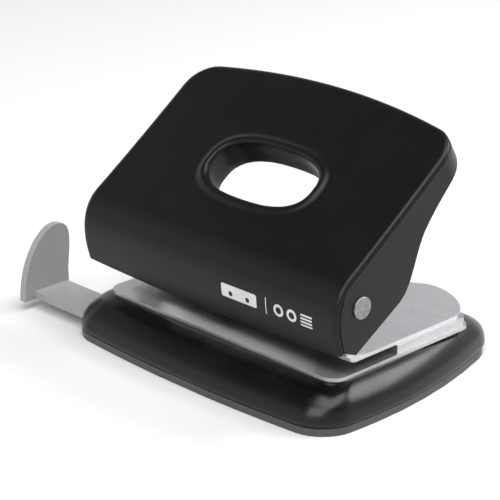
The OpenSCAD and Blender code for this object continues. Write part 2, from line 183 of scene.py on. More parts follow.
def finish_mesh(bm, name, sharp=35.0):
    """A mesh object from bm, smooth except at edges sharper than the angle."""
    limit = math.radians(sharp)
    for f in bm.faces:
        f.smooth = True
    for e in bm.edges:
        e.smooth = not (len(e.link_faces) == 2 and e.calc_face_angle(0.0) > limit)
    mesh = bpy.data.meshes.new(name)
    bm.to_mesh(mesh)
    bm.free()
    return new_object(name, mesh)


def with_modifiers(obj, sharp=35.0):
    """The object with its modifiers made part of its mesh."""
    bpy.context.view_layer.update()
    graph = bpy.context.evaluated_depsgraph_get()
    mesh = bpy.data.meshes.new_from_object(obj.evaluated_get(graph))
    name = obj.name
    bpy.data.objects.remove(obj)
    bm = bmesh.new()
    bm.from_mesh(mesh)
    bpy.data.meshes.remove(mesh)
    bmesh.ops.remove_doubles(bm, verts=bm.verts, dist=0.002 * MM)
    bmesh.ops.dissolve_degenerate(bm, edges=bm.edges, dist=0.001 * MM)
    return finish_mesh(bm, name, sharp)


def loop_out(bm, edges, move):
    """Extrudes an edge loop and moves each new point; gives the new loop."""
    made = bmesh.ops.extrude_edge_only(bm, edges=edges)["geom"]
    points = [g for g in made if isinstance(g, bmesh.types.BMVert)]
    fresh = set(points)
    for v in points:
        move(v)
    return [g for g in made if isinstance(g, bmesh.types.BMEdge) and set(g.verts) <= fresh]


def face_outward(bm, sample, direction):
    """Makes all normals agree, and turns them so that the face nearest to sample looks along direction."""
    bmesh.ops.recalc_face_normals(bm, faces=bm.faces)
    nearest = min(bm.faces, key=lambda f: (f.calc_center_median() - sample).length)
    if nearest.normal.dot(direction) < 0:
        bmesh.ops.reverse_faces(bm, faces=bm.faces)


def even_shading(obj):
    """Keeps flat faces flat beside their rounded edges."""
    mod = obj.modifiers.new("normals", "WEIGHTED_NORMAL")
    mod.weight = 100
    mod.keep_sharp = True


def solidify(obj, thickness):
    mod = obj.modifiers.new("wall", "SOLIDIFY")
    mod.thickness = thickness * MM
    mod.offset = -1
    mod.use_even_offset = True
    mod.thickness_clamp = 1.0


def combine(obj, tool, operation):
    mod = obj.modifiers.new("tool", "BOOLEAN")
    mod.operation = operation
    mod.solver = "EXACT"
    mod.object = tool
    made = with_modifiers(obj)
    bpy.data.objects.remove(tool)
    return made


def cut(obj, tool):
    """Takes the tool's volume out of the object."""
    return combine(obj, tool, "DIFFERENCE")


def join_in(obj, tool):
    """Makes the tool's volume part of the object."""
    return combine(obj, tool, "UNION")


def soften(obj, width, segments=2, angle=40.0):
    mod = obj.modifiers.new("edges", "BEVEL")
    mod.width = width * MM
    mod.segments = segments
    mod.limit_method = "ANGLE"
    mod.angle_limit = math.radians(angle)
    mod.use_clamp_overlap = True
    mod.loop_slide = False
    return with_modifiers(obj)


def add_box(bm, lo, hi):
    size = Vector(hi) - Vector(lo)
    middle = (Vector(hi) + Vector(lo)) / 2
    matrix = Matrix.Translation(middle * MM) @ Matrix.Diagonal((*(size * MM), 1))
    return bmesh.ops.create_cube(bm, size=1, matrix=matrix)["verts"]


def add_rod(bm, start, end, radius, end_radius=None, segments=48):
    """A closed round bar between two points, in millimetres."""
    a, b = Vector(start), Vector(end)
    turn = (b - a).to_track_quat("Z", "Y").to_matrix().to_4x4()
    matrix = Matrix.Translation((a + b) / 2 * MM) @ turn
    top = radius if end_radius is None else end_radius
    return bmesh.ops.create_cone(bm, cap_ends=True, cap_tris=False, segments=segments, radius1=radius * MM,
                                 radius2=top * MM, depth=(b - a).length * MM, matrix=matrix)["verts"]


def rounded_copy(node, width, segments=2, angle=30.0, name=None):
    """A copy of a CAD node with its edges rounded."""
    bm = bmesh.new()
    bm.from_mesh(frame["nodes"][node].data)
    bmesh.ops.remove_doubles(bm, verts=bm.verts, dist=0.001 * MM)
    bmesh.ops.dissolve_limit(bm, angle_limit=math.radians(1.0), verts=bm.verts, edges=bm.edges)
    edges = [e for e in bm.edges if len(e.link_faces) == 2 and e.calc_face_angle(0.0) > math.radians(angle)]
    bmesh.ops.bevel(bm, geom=edges, offset=width * MM, offset_type="OFFSET", segments=segments, profile=0.5,
                    affect="EDGES", clamp_overlap=True, material=-1)
    obj = finish_mesh(bm, name or node + "_rounded")
    even_shading(obj)
    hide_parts(node)
    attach(obj, frame["nodes"][node]["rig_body"])
    return obj


# ---------------------------------------------------------------- camera, lights and floor
CAMERA_AZIMUTH = math.radians(45.47)
CAMERA_ELEVATION = math.radians(21.24)
CAMERA_DISTANCE = 0.7513
CAMERA_TARGET = Vector((-0.07695, 0.0582, -0.00547))
CAMERA_LENS = 147.43
CAMERA_SHIFT = 0.004
HORIZON_LIGHT = 0.85
CEILING_LIGHT = 0.012


def camera():
    back = Vector((math.sin(CAMERA_AZIMUTH) * math.cos(CAMERA_ELEVATION),
                   -math.cos(CAMERA_AZIMUTH) * math.cos(CAMERA_ELEVATION), math.sin(CAMERA_ELEVATION)))
    data = bpy.data.cameras.new("camera")
    data.lens = CAMERA_LENS
    data.sensor_width = 36
    data.shift_y = CAMERA_SHIFT
    data.clip_start = 0.05
    data.clip_end = 20
    obj = new_object("camera", data)
    obj.location = CAMERA_TARGET + back * CAMERA_DISTANCE
    obj.rotation_euler = (-back).to_track_quat("-Z", "Y").to_euler()
    bpy.context.scene.camera = obj


def softbox(name, place, target, size, power, colour=(1, 1, 1)):
    data = bpy.data.lights.new(name, "AREA")
    data.shape = "RECTANGLE"
    data.size, data.size_y = size
    data.energy = power
    data.color = colour
    obj = new_object(name, data)
    obj.location = place
    obj.rotation_euler = (Vector(target) - Vector(place)).to_track_quat("-Z", "Y").to_euler()


def backdrop_light():
    """Light from all round: bright near the horizon, dark overhead."""
    world = bpy.data.worlds.new("studio")
    world.use_nodes = True
    tree = world.node_tree
    background = tree.nodes["Background"]
    direction = tree.nodes.new("ShaderNodeTexCoord").outputs["Generated"]
    split = tree.nodes.new("ShaderNodeSeparateXYZ")
    tree.links.new(direction, split.inputs["Vector"])
    height = spread(tree, split.outputs["Z"], 0.38, 0.8, HORIZON_LIGHT, CEILING_LIGHT)
    tree.links.new(height, background.inputs["Strength"])
    background.inputs["Color"].default_value = (0.97, 0.98, 1.0, 1)
    bpy.context.scene.world = world


def studio():
    middle = (0, 0, 0.04)
    softbox("overhead", (0.25, 0.0, 1.2), middle, (0.9, 0.8), 11)
    softbox("back_right", (0.42, 0.78, 0.8), middle, (0.7, 0.5), 8)
    softbox("front_fill", (0.35, -0.85, 0.95), middle, (0.8, 0.8), 9)
    backdrop_light()
    bpy.context.scene.view_settings.view_transform = "Standard"
    bm = bmesh.new()
    bmesh.ops.create_grid(bm, x_segments=1, y_segments=1, size=6)
    floor = finish_mesh(bm, "floor")
    floor.data.materials.append(floor_white())


# ---------------------------------------------------------------- materials
def group_socket(tree, name, kind, default=None, out=False):
    socket = tree.interface.new_socket(name, in_out="OUTPUT" if out else "INPUT", socket_type=kind)
    if default is not None:
        socket.default_value = default
    return socket


def noise(tree, vector, scale, detail=3.0, rough=0.55):
    node = tree.nodes.new("ShaderNodeTexNoise")
    node.inputs["Scale"].default_value = scale
    node.inputs["Detail"].default_value = detail
    node.inputs["Roughness"].default_value = rough
    tree.links.new(vector, node.inputs["Vector"])
    return node.outputs["Fac"]


def spread(tree, value, low, high, to_low=0.0, to_high=1.0):
    """Maps value from low..high to another range, clamped."""
    node = tree.nodes.new("ShaderNodeMapRange")
    node.inputs["From Min"].default_value = low
    node.inputs["From Max"].default_value = high
    node.inputs["To Min"].default_value = to_low
    node.inputs["To Max"].default_value = to_high
    tree.links.new(value, node.inputs["Value"])
    return node.outputs["Result"]


def math_node(tree, operation, a, b):
    node = tree.nodes.new("ShaderNodeMath")
    node.operation = operation
    for socket, value in zip(node.inputs, (a, b)):
        if isinstance(value, (int, float)):
            socket.default_value = value
        else:
            tree.links.new(value, socket)
    return node.outputs["Value"]


def tint(tree, factor, dark, light):
    node = tree.nodes.new("ShaderNodeMix")
    node.data_type = "RGBA"
    tree.links.new(factor, node.inputs["Factor"])
    for socket, colour in zip([s for s in node.inputs if s.type == "RGBA"], (dark, light)):
        if hasattr(colour, "is_linked"):
            tree.links.new(colour, socket)
        else:
            socket.default_value = (*colour, 1)
    return [s for s in node.outputs if s.type == "RGBA"][0]


def moulded_group():
    """Moulded plastic: fine spark texture, faint flow marks, handling smudges and a little dust."""
    tree = bpy.data.node_groups.new("moulded_surface", "ShaderNodeTree")
    group_socket(tree, "Vector", "NodeSocketVector")
    group_socket(tree, "Dark", "NodeSocketColor", (0.02, 0.02, 0.02, 1))
    group_socket(tree, "Light", "NodeSocketColor", (0.03, 0.03, 0.03, 1))
    group_socket(tree, "Grain", "NodeSocketFloat", 2400.0)
    group_socket(tree, "Rough", "NodeSocketFloat", 0.4)
    group_socket(tree, "Smudge", "NodeSocketFloat", 0.08)
    for name, kind in (("Color", "NodeSocketColor"), ("Roughness", "NodeSocketFloat"), ("Height", "NodeSocketFloat")):
        group_socket(tree, name, kind, out=True)
    inside = tree.nodes.new("NodeGroupInput").outputs
    outside = tree.nodes.new("NodeGroupOutput").inputs
    grain_node = tree.nodes.new("ShaderNodeTexNoise")
    grain_node.inputs["Detail"].default_value = 2.0
    tree.links.new(inside["Vector"], grain_node.inputs["Vector"])
    tree.links.new(inside["Grain"], grain_node.inputs["Scale"])
    grain = grain_node.outputs["Fac"]
    flow = noise(tree, inside["Vector"], 38.0, 4.0)
    smudge = spread(tree, noise(tree, inside["Vector"], 70.0, 5.0, 0.65), 0.45, 0.72)
    dust = spread(tree, noise(tree, inside["Vector"], 5200.0, 1.0), 0.74, 0.80)
    mottled = tint(tree, spread(tree, flow, 0.3, 0.7), inside["Dark"], inside["Light"])
    dusty = tint(tree, math_node(tree, "MULTIPLY", dust, 0.22), mottled, (0.32, 0.32, 0.31))
    tree.links.new(dusty, outside["Color"])
    wear = math_node(tree, "MULTIPLY", smudge, inside["Smudge"])
    fine = math_node(tree, "MULTIPLY", math_node(tree, "SUBTRACT", grain, 0.5), 0.12)
    rough = math_node(tree, "ADD", math_node(tree, "ADD", inside["Rough"], wear), fine)
    tree.links.new(rough, outside["Roughness"])
    height = math_node(tree, "ADD", grain, math_node(tree, "MULTIPLY", flow, 0.6))
    tree.links.new(height, outside["Height"])
    return tree


def metal_group():
    """Sheet and turned steel: lines along one way, cloudy plating and a few dull spots."""
    tree = bpy.data.node_groups.new("steel_surface", "ShaderNodeTree")
    group_socket(tree, "Vector", "NodeSocketVector")
    group_socket(tree, "Lines", "NodeSocketVector")
    group_socket(tree, "Dark", "NodeSocketColor", (0.4, 0.4, 0.4, 1))
    group_socket(tree, "Light", "NodeSocketColor", (0.6, 0.6, 0.6, 1))
    group_socket(tree, "Rough", "NodeSocketFloat", 0.3)
    for name, kind in (("Color", "NodeSocketColor"), ("Roughness", "NodeSocketFloat"), ("Height", "NodeSocketFloat")):
        group_socket(tree, name, kind, out=True)
    inside = tree.nodes.new("NodeGroupInput").outputs
    outside = tree.nodes.new("NodeGroupOutput").inputs
    lines = noise(tree, inside["Lines"], 900.0, 4.0, 0.7)
    cloud = noise(tree, inside["Vector"], 55.0, 5.0, 0.6)
    spots = spread(tree, noise(tree, inside["Vector"], 420.0, 3.0), 0.62, 0.74)
    mixed = math_node(tree, "ADD", math_node(tree, "MULTIPLY", lines, 0.45), math_node(tree, "MULTIPLY", cloud, 0.55))
    plated = tint(tree, spread(tree, mixed, 0.38, 0.62), inside["Dark"], inside["Light"])
    dull = tint(tree, math_node(tree, "MULTIPLY", spots, 0.25), plated, (0.3, 0.29, 0.28))
    tree.links.new(dull, outside["Color"])
    rough = math_node(tree, "ADD", inside["Rough"], spread(tree, cloud, 0.3, 0.7, -0.05, 0.1))
    rough = math_node(tree, "ADD", rough, math_node(tree, "MULTIPLY", spots, 0.12))
    tree.links.new(rough, outside["Roughness"])
    tree.links.new(lines, outside["Height"])
    return tree


GROUPS = {}


def group_node(tree, name, build):
    if name not in GROUPS:
        GROUPS[name] = build()
    node = tree.nodes.new("ShaderNodeGroup")
    node.node_tree = GROUPS[name]
    return node


def new_material(name):
    mat = bpy.data.materials.new(name)
    mat.use_nodes = True
    tree = mat.node_tree
    shader = tree.nodes["Principled BSDF"]
    place = tree.nodes.new("ShaderNodeTexCoord").outputs["Object"]
    return mat, tree, shader, place


def bump(tree, shader, height, strength, distance):
    node = tree.nodes.new("ShaderNodeBump")
    node.inputs["Strength"].default_value = strength
    node.inputs["Distance"].default_value = distance * MM
    tree.links.new(height, node.inputs["Height"])
    tree.links.new(node.outputs["Normal"], shader.inputs["Normal"])


def plastic(name, dark, light, rough, grain=2400.0, smudge=0.08, relief=0.02, gloss=0.5):
    mat, tree, shader, place = new_material(name)
    surface = group_node(tree, "moulded", moulded_group)
    tree.links.new(place, surface.inputs["Vector"])
    surface.inputs["Dark"].default_value = (*dark, 1)
    surface.inputs["Light"].default_value = (*light, 1)
    surface.inputs["Grain"].default_value = grain
    surface.inputs["Rough"].default_value = rough
    surface.inputs["Smudge"].default_value = smudge
    tree.links.new(surface.outputs["Color"], shader.inputs["Base Color"])
    tree.links.new(surface.outputs["Roughness"], shader.inputs["Roughness"])
    bump(tree, shader, surface.outputs["Height"], 0.35, relief)
    shader.inputs["IOR"].default_value = 1.5
    shader.inputs["Specular IOR Level"].default_value = gloss
    return mat


def steel(name, dark, light, rough, stretch=(0.03, 1, 1), relief=0.006):
    mat, tree, shader, place = new_material(name)
    surface = group_node(tree, "steel", metal_group)
    mapping = tree.nodes.new("ShaderNodeMapping")
    mapping.inputs["Scale"].default_value = stretch
    tree.links.new(place, mapping.inputs["Vector"])
    tree.links.new(mapping.outputs["Vector"], surface.inputs["Lines"])
    tree.links.new(place, surface.inputs["Vector"])
    surface.inputs["Dark"].default_value = (*dark, 1)
    surface.inputs["Light"].default_value = (*light, 1)
    surface.inputs["Rough"].default_value = rough
    tree.links.new(surface.outputs["Color"], shader.inputs["Base Color"])
    tree.links.new(surface.outputs["Roughness"], shader.inputs["Roughness"])
    bump(tree, shader, surface.outputs["Height"], 0.3, relief)
    shader.inputs["Metallic"].default_value = 1.0
    return mat


def floor_white():
    mat, tree, shader, place = new_material("studio_floor")
    shader.inputs["Base Color"].default_value = (0.74, 0.74, 0.74, 1)
    shader.inputs["Roughness"].default_value = 0.7
    shader.inputs["Specular IOR Level"].default_value = 0.2
    return mat


# ---------------------------------------------------------------- handle
RIM_TOP = 38.35
RIM_BOW = 6.4
RIM_CORNER = 9.0
EDGE_ROUND = 1.9
EDGE_DROP = 1.2
WINDOW_A = 21.9
WINDOW_B = 11.0
WINDOW_POWER = 2.6
WINDOW_FRAME = Vector((28.0, 16.0))
# The rolled rim of the window and its collar: how far out from the opening, and how high.
BEAD = ((3.7, 0.0), (3.0, 0.06), (2.3, 0.4), (1.5, 0.78), (0.7, 0.85), (0.1, 0.6), (-0.35, 0.1), (-0.5, -0.6),
        (-0.35, -3.0), (-0.2, -7.0), (-0.2, -9.4), (0.05, -9.9))
GROOVE = ((0.0, -1.3), (0.4, -1.55), (0.4, -1.95), (0.0, -2.2))
WALL_ROWS = 5


def rim(x, inset):
    """Height of the rear rim up the face, for an outline drawn in by inset."""
    half, corner = HANDLE_HALF - inset, RIM_CORNER - inset
    over = max(0.0, abs(x) - half + corner)
    round_off = corner - math.sqrt(max(0.0, corner * corner - over * over))
    return RIM_TOP - inset - RIM_BOW * (x / HANDLE_HALF) ** 2 - round_off


def across_places(inset):
    """Places across the skin, closer together round the rear corners."""
    corner = RIM_CORNER - inset
    flat = HANDLE_HALF - inset - corner
    side = [flat + corner * math.sin(math.radians(90 * i / 7)) for i in range(1, 8)]
    middle = [-flat + 2 * flat * i / 42 for i in range(43)]
    return [-x for x in reversed(side)] + middle + side


def window_point(x, h, out):
    """The point of the window's outline, drawn out by out, in the direction of (x, h)."""
    turn = math.atan2(h / WINDOW_FRAME.y, x / WINDOW_FRAME.x)
    c, s = math.cos(turn), math.sin(turn)
    size = (abs(c) ** WINDOW_POWER + abs(s) ** WINDOW_POWER) ** (-1 / WINDOW_POWER)
    return Vector(((WINDOW_A + out) * size * c, (WINDOW_B + out) * size * s))


def handle_skin(bm):
    """The handle's face: a grid laid on the skin, with the window's rim and collar drawn from its hole."""
    across = across_places(EDGE_ROUND)
    rows = 62
    straight = 46
    s_straight = skin_length(WINDOW_FRAME.y + 2)
    bmesh.ops.create_grid(bm, x_segments=len(across) - 1, y_segments=rows, size=1)
    along = bm.verts.layers.float.new("along")
    wide = bm.verts.layers.float.new("wide")
    high = bm.verts.layers.float.new("high")
    for v in bm.verts:
        x = across[round((v.co.x + 1) / 2 * (len(across) - 1))]
        row = round((v.co.y + 1) / 2 * rows)
        if row <= straight:
            s = s_straight * row / straight
        else:
            top = skin_length(rim(x, EDGE_ROUND))
            s = s_straight + (top - s_straight) * (row - straight) / (rows - straight)
        v[along], v[wide] = s, x

    def in_window(f):
        x = sum(v[wide] for v in f.verts) / 4
        h = up_face(sum(v[along] for v in f.verts) / 4)
        return abs(x) < WINDOW_FRAME.x - 1 and abs(h) < WINDOW_FRAME.y - 1

    bmesh.ops.delete(bm, geom=[f for f in bm.faces if in_window(f)], context="FACES")
    border = [e for e in bm.edges if e.is_boundary]
    hole = [e for e in border if all(abs(v[wide]) < WINDOW_FRAME.x + 3 and v[along] > 1 and
                                     abs(up_face(v[along])) < WINDOW_FRAME.y + 1.5 for v in e.verts)]
    outer = [e for e in border if e not in set(hole) and not all(v[along] < 0.01 for v in e.verts)]

    def towards_window(share):
        def move(v):
            h = up_face(v[along])
            goal = window_point(v[wide], h, BEAD[0][0])
            v[wide] += (goal.x - v[wide]) * share
            v[along] = skin_length(h + (goal.y - h) * share)
        return move

    for share in (1 / 3, 1 / 2):
        hole = loop_out(bm, hole, towards_window(share))
    for out, height in BEAD:
        def move(v, out=out, height=height):
            goal = window_point(v[wide], up_face(v[along]), out)
            v[wide], v[along], v[high] = goal.x, skin_length(goal.y), height
        hole = loop_out(bm, hole, move)
    return outer, along, wide, high


def outline_normals(bm, outer, along, wide):
    """Outward directions, across and along the skin, of the points on the outer border."""
    ways = {}
    for v in {v for e in outer for v in e.verts}:
        ends = [e.other_vert(v) for e in v.link_edges if e in outer]
        a, b = (ends[0], ends[-1]) if len(ends) == 2 else (ends[0], v)
        t = Vector((b[wide] - a[wide], b[along] - a[along])).normalized()
        n = Vector((t.y, -t.x))
        middle = Vector((v[wide], v[along] - SKIN.length * 0.45))
        if abs(v[wide]) > HANDLE_HALF - RIM_CORNER:
            n = n if n.x * v[wide] > 0 else -n
        else:
            n = n if n.dot(middle) > 0 else -n
        if len(ends) == 1:
            n = Vector((math.copysign(1, v[wide]), 0))
        ways[(round(v[wide], 3), round(v[along], 3))] = n
    return ways


BAR_LEAN = math.radians(14)
BAR_FROM, BAR_TO, BAR_THICK = 5.2, 18.4, 2.0
BAR_SCREW_X, BAR_SCREW_AT = 26.0, 12.0
RIB_XS = (-49, -26, 26, 49)


def over_bar(x, along, up):
    """A point over the pressure bar's line through the pivot, in millimetres."""
    c, s = math.cos(BAR_LEAN), math.sin(BAR_LEAN)
    return Vector((x, PIVOT_Y + along * c - up * s, PIVOT_Z + along * s + up * c))


def depth_under_skin(p):
    """How far a point is under the handle's skin."""
    nearest = min((i * SKIN.length / 300 for i in range(301)), key=lambda s: (SKIN.at(s) - p.yz).length)
    return -(p.yz - SKIN.at(nearest)).dot(SKIN.outward(nearest))


def reach_skin(along):
    """How far up from the bar the middle of the handle's wall is."""
    up = BAR_THICK
    while depth_under_skin(over_bar(0, along, up)) > WALL / 2:
        up += 0.1
    return up


def handle_inside(bm):
    """The ribs over the pressure bar and the bosses of its screws."""
    for x in RIB_XS:
        verts = add_box(bm, (x - 0.7, -1, -1), (x + 0.7, 1, 1))
        for v in verts:
            along = BAR_FROM if v.co.y < 0 else BAR_TO
            up = BAR_THICK + 0.01 if v.co.z < 0 else reach_skin(along)
            v.co = over_bar(v.co.x / MM, along, up) * MM
    for x in (-BAR_SCREW_X, BAR_SCREW_X):
        top = min(reach_skin(BAR_SCREW_AT - 3.3), reach_skin(BAR_SCREW_AT + 3.3))
        boss = [(BAR_THICK + 0.01, 1.28), (BAR_THICK + 0.01, 3.0), (BAR_THICK + 0.25, 3.2), (top, 3.3), (top, 0.0),
                (8.6, 0.0), (8.6, 1.28), (BAR_THICK + 0.01, 1.28)]
        direction = over_bar(0, 0, 1) - over_bar(0, 0, 0)
        turned(bm, boss, over_bar(x, BAR_SCREW_AT, 0), direction, 40)


def handle():
    bm = bmesh.new()
    outer, along, wide, high = handle_skin(bm)
    outer = set(outer)
    ways = outline_normals(bm, outer, along, wide)
    way_x = bm.verts.layers.float.new("way_x")
    way_s = bm.verts.layers.float.new("way_s")
    rim_x = bm.verts.layers.float.new("rim_x")
    rim_s = bm.verts.layers.float.new("rim_s")
    for v in {v for e in outer for v in e.verts}:
        n = ways[(round(v[wide], 3), round(v[along], 3))]
        v[way_x], v[way_s], v[rim_x], v[rim_s] = n.x, n.y, v[wide], v[along]
    rings = [(EDGE_ROUND * math.sin(math.radians(a)), EDGE_DROP * (math.cos(math.radians(a)) - 1))
             for a in (15, 30, 45, 60, 75, 90)]
    rings += [(EDGE_ROUND - dip, depth) for dip, depth in GROOVE]
    edges = list(outer)
    for out, height in rings:
        def move(v, out=out, height=height):
            v[wide] = v[rim_x] + v[way_x] * out
            v[along] = v[rim_s] + v[way_s] * out
            v[high] = height
        edges = loop_out(bm, edges, move)
    for v in bm.verts:
        v.co = on_skin(v[wide], v[along], v[high])
    for row in range(1, WALL_ROWS + 1):
        def move(v, row=row):
            foot = under_skin(v[wide], v[along])
            v.co = v.co.lerp(foot, 1 / (WALL_ROWS + 1 - row))
        edges = loop_out(bm, edges, move)
    face_outward(bm, on_skin(0, 12), Vector((0, -1, 0)))
    obj = finish_mesh(bm, "handle_moulding", 50)
    solidify(obj, WALL)
    obj = with_modifiers(obj, 50)
    holes = bmesh.new()
    for side in (-1, 1):
        x = side * HANDLE_HALF
        add_rod(holes, (x - 8 * side, PIVOT_Y, PIVOT_Z), (x + 4 * side, PIVOT_Y, PIVOT_Z), 3.62, segments=64)
    bmesh.ops.recalc_face_normals(holes, faces=holes.faces)
    obj = cut(obj, finish_mesh(holes, "pin_holes"))
    inside = bmesh.new()
    handle_inside(inside)
    inside = closed(inside, "handle_ribs")
    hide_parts("handle_shell")
    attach(inside, "handle")
    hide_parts("handle_shell")
    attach(obj, "handle")
    return obj, inside


# ---------------------------------------------------------------- base moulding
BASE_CORNER = 10.5
WIDEST_Y = -18.0
TAPER = 0.00005
FRONT_BOW = 3.2
FRONT_Y = BASE_LO.y / MM + FRONT_BOW
BACK_Y = BASE_HI.y / MM
SKIRT_Z = 2.5
# Height, and how far the outline is drawn in at the side, the front and the back.
SKIRT = ((SKIRT_Z, 0.55, 0.55, 0.55), (SKIRT_Z + 0.3, 0.25, 0.25, 0.25), (4.2, 0.1, 0.1, 0.1),
         (7.2, 0.9, 1.6, 1.4), (9.6, 2.6, 4.2, 4.6), (11.5, 4.8, 7.4, 9.0), (DECK_Z, 7.4, 12.0, 16.5))
CAVITY = ((-1.0, 2.7, 2.7, 2.7), (4.2, 2.2, 2.2, 2.2), (7.2, 3.2, 4.0, 4.2), (DECK_Z - WALL, 7.0, 11.0, 14.5))
ARM_FRONT = -39.7
ARM_BACK = -25.1
ARM_Z = 3.9
ARM_THICK = 2.2
CHANNEL_END = 44.0
SCREWS = ((38, 3), (38, 22), (-38, 3), (-38, 22))
PUNCH_X = 40.0
PUNCH_Y = -16.4
HINGE_Y = BACK_Y - 1.8
HINGE_Z = 1.5
HINGE_X = 34.0


def quarter(x, y, radius, start, steps=10):
    """Points on a quarter circle."""
    turns = [math.radians(start + 90 * i / steps) for i in range(steps + 1)]
    return [(x + radius * math.cos(a), y + radius * math.sin(a)) for a in turns]


def base_ring(z, side, front, back):
    """The base's outline at a height: a rounded rectangle, bowed at the front and narrower at the back."""
    half, y0, y1 = BASE_HALF - side, FRONT_Y + front, BACK_Y - back
    r = BASE_CORNER - side / 2
    right = [((half - r) * i / 8, y0) for i in range(8)] + quarter(half - r, y0 + r, r, -90)
    right += [(half, y0 + r + (y1 - y0 - 2 * r) * i / 12) for i in range(1, 12)]
    right += quarter(half - r, y1 - r, r, 0) + [((half - r) * (8 - i) / 8, y1) for i in range(1, 9)]
    left = [(-x, y) for x, y in reversed(right[1:-1])]
    ring = []
    for x, y in right + left:
        bow = FRONT_BOW * (1 - (x / BASE_HALF) ** 2) * y / FRONT_Y if y < 0 else 0.0
        ring.append(Vector((x * (1 - TAPER * (y - WIDEST_Y) ** 2), y - bow, z)) * MM)
    return ring


def eased(levels, steps=4):
    """More levels between the given ones, on a smooth curve through them."""
    made = []
    for i in range(len(levels) - 1):
        before, a, b, after = (Vector(levels[min(max(k, 0), len(levels) - 1)]) for k in range(i - 1, i + 3))
        for k in range(steps):
            t = k / steps
            made.append(0.5 * ((2 * a) + (b - before) * t + (2 * before - 5 * a + 4 * b - after) * t**2
                               + (3 * a - before - 3 * b + after) * t**3))
    return made + [Vector(levels[-1])]


def loft(bm, rings):
    """A closed skin through rings of points, with both ends filled."""
    place = bm.verts.layers.int.get("place") or bm.verts.layers.int.new("place")
    start = bmesh.ops.create_circle(bm, cap_ends=False, segments=len(rings[0]), radius=1)["verts"]
    for i, v in enumerate(start):
        v[place], v.co = i, rings[0][i]
    edges = list({e for v in start for e in v.link_edges})
    bmesh.ops.edgeloop_fill(bm, edges=edges)
    for ring in rings[1:]:
        def move(v, ring=ring):
            v.co = ring[v[place]]
        edges = loop_out(bm, edges, move)
    bmesh.ops.edgeloop_fill(bm, edges=edges)


def closed(bm, name, sharp=35.0):
    """A mesh object from closed shapes, with all faces outwards."""
    bmesh.ops.recalc_face_normals(bm, faces=bm.faces)
    return finish_mesh(bm, name, sharp)


def base_cavity():
    """The hollow under the deck, less the guide's rails and the screw bosses."""
    bm = bmesh.new()
    loft(bm, [base_ring(*level) for level in CAVITY])
    hollow = closed(bm, "cavity")
    bm = bmesh.new()
    for y0, y1 in ((ARM_FRONT - 2.3, ARM_FRONT + 1.6), (ARM_BACK - 1.6, ARM_BACK + 2.1)):
        add_box(bm, (-62, y0, 2.6), (CHANNEL_END + 2, y1, 14.6))
    for x, y in SCREWS:
        add_rod(bm, (x, y, 7), (x, y, 17), 3.4)
    return cut(hollow, closed(bm, "rails"))


def base_openings():
    """The guide's channel, the chip windows, the screw holes and the hinge's room, as one cutter."""
    bm = bmesh.new()
    add_box(bm, (-80, ARM_FRONT - 0.25, ARM_Z - 0.2), (CHANNEL_END, ARM_BACK + 0.25, ARM_Z + ARM_THICK + 0.2))
    for side in (-1, 1):
        x = side * PUNCH_X
        add_box(bm, (x - 9, PUNCH_Y - 6, DECK_Z - WALL - 1), (x + 9, PUNCH_Y + 9, DECK_Z + 1))
    for x, y in SCREWS:
        add_rod(bm, (x, y, 0), (x, y, 30), 1.55)
    add_box(bm, (-HINGE_X - 0.4, HINGE_Y - 2.2, -1), (HINGE_X + 0.4, HINGE_Y + 8, 3.4))
    return closed(bm, "openings")


def base_shell():
    bm = bmesh.new()
    loft(bm, [base_ring(*level) for level in eased(SKIRT)])
    obj = closed(bm, "base_moulding")
    obj = cut(obj, base_cavity())
    bm = bmesh.new()
    ear = quarter(HINGE_Y, HINGE_Z, 1.5, 180) + quarter(HINGE_Y, HINGE_Z, 1.5, 270)[1:]
    ear += [(HINGE_Y + 1.5, HINGE_Z + 4), (HINGE_Y - 1.5, HINGE_Z + 4)]
    for side in (-1, 1):
        x = side * (HINGE_X + 1.7)
        loft(bm, [[Vector((x + d, y, z)) * MM for y, z in ear] for d in (-1.2, 1.2)])
    obj = join_in(obj, closed(bm, "hinge_ears"))
    obj = cut(obj, base_openings())
    bm = bmesh.new()
    for side in (-1, 1):
        x = side * (HINGE_X + 1.7)
        add_rod(bm, (x - 1.8, HINGE_Y, HINGE_Z), (x + 1.8, HINGE_Y, HINGE_Z), 0.9, segments=24)
    obj = cut(obj, closed(bm, "trunnion_holes"))
    even_shading(obj)
    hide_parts("base_body")
    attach(obj, "base")
    return obj


# ---------------------------------------------------------------- turned parts
def turned(bm, profile, start, axis, steps=48):
    """Spins a profile of (along, radius) pairs round a line from start, in millimetres."""
    axis = Vector(axis).normalized()
    side = axis.orthogonal().normalized()
    start = Vector(start)
    verts = [bm.verts.new((start + axis * a + side * r) * MM) for a, r in profile]
    edges = [bm.edges.new(pair) for pair in zip(verts, verts[1:])]
    bmesh.ops.spin(bm, geom=verts + edges, cent=start * MM, axis=axis, dvec=(0, 0, 0), angle=math.tau,
                   steps=steps, use_merge=True, use_duplicate=False)
    bmesh.ops.remove_doubles(bm, verts=bm.verts, dist=0.002 * MM)
    bmesh.ops.delete(bm, geom=[e for e in bm.edges if e.is_wire], context="EDGES")


def rounded_edge(along, radius, size, way=1, steps=4):
    """Profile points round the outer edge of a head that ends at along."""
    turns = [math.radians(90 * i / steps) for i in range(steps + 1)]
    return [(along - way * size * (1 - math.sin(a)), radius - size * (1 - math.cos(a))) for a in turns]


